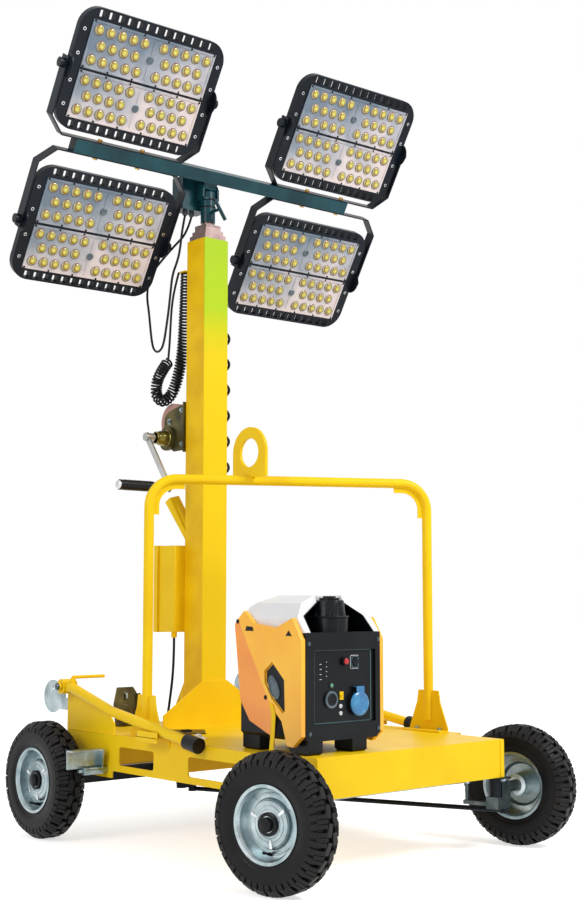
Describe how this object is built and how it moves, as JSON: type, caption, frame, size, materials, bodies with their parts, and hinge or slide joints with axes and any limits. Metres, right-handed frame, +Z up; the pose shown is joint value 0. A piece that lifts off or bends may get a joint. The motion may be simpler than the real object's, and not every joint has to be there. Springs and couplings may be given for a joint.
{
  "type": "mobile light tower",
  "caption": "Hand-moved light tower on a wheeled steel deck with a petrol generator, a telescopic winch mast, folding side handles, a guard hoop and tilting floodlights",
  "frame": {"origin": "centre of the machine's footprint on the ground, under the middle of its bounding box", "axes": "+X forward along the deck towards the steered wheels, +Y to the machine's left, +Z up"},
  "size_m": [1.663, 1.6392, 2.8476],
  "materials": {
    "yellow": "semi-gloss",
    "dark_frame": "satin",
    "black_plastic": "matte",
    "orange": "gloss",
    "white": "gloss",
    "zinc": "galvanised",
    "tyre": "matte",
    "steel": "galvanised",
    "olive": "passivated",
    "lens": "gloss",
    "rubber": "matte"
  },
  "bodies": {
    "chassis": {"deck_frame": "yellow", "steering_bosses": "dark_frame", "rear_axle": "dark_frame", "brake_bars": "zinc", "handle_brackets": "yellow", "lock_plates": "zinc", "pedal_plate": "olive", "guard_hoop": "yellow", "lifting_eye": "yellow", "hoop_feet": "yellow", "mast_tube": "yellow", "mast_brackets": "yellow", "mast_side_box": "yellow", "winch_body": "olive", "generator_core": "black_plastic", "generator_shells": "orange", "generator_cover": "white", "curly_cord": "rubber", "coil_lead": "rubber", "supply_cable": "rubber"},
    "wheel_rear_right": {"tyre_rear_right": "tyre", "rim_rear_right": "zinc"},
    "wheel_rear_left": {"tyre_rear_left": "tyre", "rim_rear_left": "zinc"},
    "wheel_front_right": {"tyre_front_right": "tyre", "rim_front_right": "zinc"},
    "wheel_front_left": {"tyre_front_left": "tyre", "rim_front_left": "zinc"},
    "knuckle_right": {"knuckle_right": "zinc"},
    "knuckle_left": {"knuckle_left": "zinc"},
    "track_rod": {"track_rod": "zinc"},
    "drag_link": {"drag_link": "dark_frame"},
    "steering_lever": {"steering_lever": "dark_frame"},
    "handle_right": {"handle_right": "yellow", "handle_grip_right": "rubber"},
    "handle_left": {"handle_left": "yellow", "handle_grip_left": "rubber"},
    "stage_1": {"mast_stage_1": "steel"},
    "stage_2": {"mast_stage_2": "steel"},
    "stage_3": {"mast_stage_3": "steel"},
    "head": {"head_clamp": "dark_frame", "lamp_lead": "rubber"},
    "bar": {"cross_bar": "dark_frame", "lamp_brackets": "dark_frame"},
    "lamp_upper_right": {"lamp_frame_upper_right": "dark_frame", "lamp_modules_upper_right": "lens"},
    "lamp_lower_right": {"lamp_frame_lower_right": "dark_frame", "lamp_modules_lower_right": "lens"},
    "lamp_upper_left": {"lamp_frame_upper_left": "dark_frame", "lamp_modules_upper_left": "lens"},
    "lamp_lower_left": {"lamp_frame_lower_left": "dark_frame", "lamp_modules_lower_left": "lens"},
    "crank": {"winch_crank": "olive", "crank_grip": "rubber"}
  },
  "joints": [
    {"name": "rear_right_wheel_spin", "type": "hinge", "parent": "chassis", "child": "wheel_rear_right", "pos_m": [-0.60947, -0.64371, 0.2], "axis": [0, 1, 0], "continuous": true},
    {"name": "rear_left_wheel_spin", "type": "hinge", "parent": "chassis", "child": "wheel_rear_left", "pos_m": [-0.60947, 0.51129, 0.2], "axis": [0, 1, 0], "continuous": true},
    {"name": "front_right_wheel_spin", "type": "hinge", "parent": "knuckle_right", "child": "wheel_front_right", "pos_m": [0.63074, -0.63981, 0.2], "axis": [-0.213, 0.977, 0], "continuous": true},
    {"name": "front_left_wheel_spin", "type": "hinge", "parent": "knuckle_left", "child": "wheel_front_left", "pos_m": [0.55831, 0.50739, 0.2], "axis": [-0.213, 0.977, 0], "continuous": true},
    {"name": "left_steer", "type": "hinge", "parent": "chassis", "child": "knuckle_left", "pos_m": [0.59452, 0.34129, 0.2], "axis": [0, 0, 1], "range_deg": [-30.3, 5.7]},
    {"name": "right_steer", "type": "hinge", "parent": "chassis", "child": "knuckle_right", "pos_m": [0.59452, -0.47371, 0.2], "axis": [0, 0, 1], "range_deg": [-30.3, 5.7]},
    {"name": "track_rod_pivot", "type": "hinge", "parent": "knuckle_left", "child": "track_rod", "pos_m": [0.49194, 0.31892, 0.222], "axis": [0, 0, 1], "range_deg": [-5.7, 30.3]},
    {"name": "drag_link_pivot", "type": "hinge", "parent": "knuckle_left", "child": "drag_link", "pos_m": [0.58132, 0.40187, 0.126], "axis": [0, 0, 1], "range_deg": [-5.7, 30.3]},
    {"name": "steering_lever_turn", "type": "hinge", "parent": "chassis", "child": "steering_lever", "pos_m": [-0.50748, -0.12621, 0.15], "axis": [0, 0, 1], "range_deg": [-30.3, 5.7]},
    {"name": "right_handle_fold", "type": "hinge", "parent": "chassis", "child": "handle_right", "pos_m": [-0.61447, -0.56371, 0.516], "axis": [0, -1, 0], "range_deg": [0, 165]},
    {"name": "left_handle_fold", "type": "hinge", "parent": "chassis", "child": "handle_left", "pos_m": [-0.61447, 0.43129, 0.516], "axis": [0, -1, 0], "range_deg": [0, 165]},
    {"name": "mast_stage_1_lift", "type": "slide", "parent": "chassis", "child": "stage_1", "axis": [0, 0, 1], "range_m": [0, 1.1]},
    {"name": "mast_stage_2_lift", "type": "slide", "parent": "stage_1", "child": "stage_2", "axis": [0, 0, 1], "range_m": [0, 1.1]},
    {"name": "mast_stage_3_lift", "type": "slide", "parent": "stage_2", "child": "stage_3", "axis": [0, 0, 1], "range_m": [0, 1.1]},
    {"name": "head_turn", "type": "hinge", "parent": "stage_3", "child": "head", "pos_m": [-0.44848, -0.06621, 2.317], "axis": [0, 0, 1], "range_deg": [-175, 175]},
    {"name": "bar_tilt", "type": "hinge", "parent": "head", "child": "bar", "pos_m": [-0.44848, -0.06621, 2.39374], "axis": [0.0349, 0.9994, 0], "range_deg": [-20, 24]},
    {"name": "lamp_upper_right_tilt", "type": "hinge", "parent": "bar", "child": "lamp_upper_right", "pos_m": [-0.29778, -0.48823, 2.65833], "axis": [0.0349, 0.9994, 0], "range_deg": [-30, 30]},
    {"name": "lamp_lower_right_tilt", "type": "hinge", "parent": "bar", "child": "lamp_lower_right", "pos_m": [-0.59965, -0.47769, 2.17495], "axis": [0.0349, 0.9994, 0], "range_deg": [-30, 30]},
    {"name": "lamp_upper_left_tilt", "type": "hinge", "parent": "bar", "child": "lamp_upper_left", "pos_m": [-0.26405, 0.47769, 2.65833], "axis": [0.0349, 0.9994, 0], "range_deg": [-30, 30]},
    {"name": "lamp_lower_left_tilt", "type": "hinge", "parent": "bar", "child": "lamp_lower_left", "pos_m": [-0.56592, 0.48823, 2.17495], "axis": [0.0349, 0.9994, 0], "range_deg": [-30, 30]},
    {"name": "winch_crank_turn", "type": "hinge", "parent": "chassis", "child": "crank", "pos_m": [-0.60747, -0.22121, 1.433], "axis": [0, 1, 0], "continuous": true}
  ],
  "couplings": [
    {"joint": "right_steer", "follows": "left_steer", "ratio": 1},
    {"joint": "steering_lever_turn", "follows": "left_steer", "ratio": 1},
    {"joint": "track_rod_pivot", "follows": "left_steer", "ratio": -1},
    {"joint": "drag_link_pivot", "follows": "left_steer", "ratio": -1},
    {"joint": "mast_stage_2_lift", "follows": "mast_stage_1_lift", "ratio": 1},
    {"joint": "mast_stage_3_lift", "follows": "mast_stage_1_lift", "ratio": 1}
  ]
}
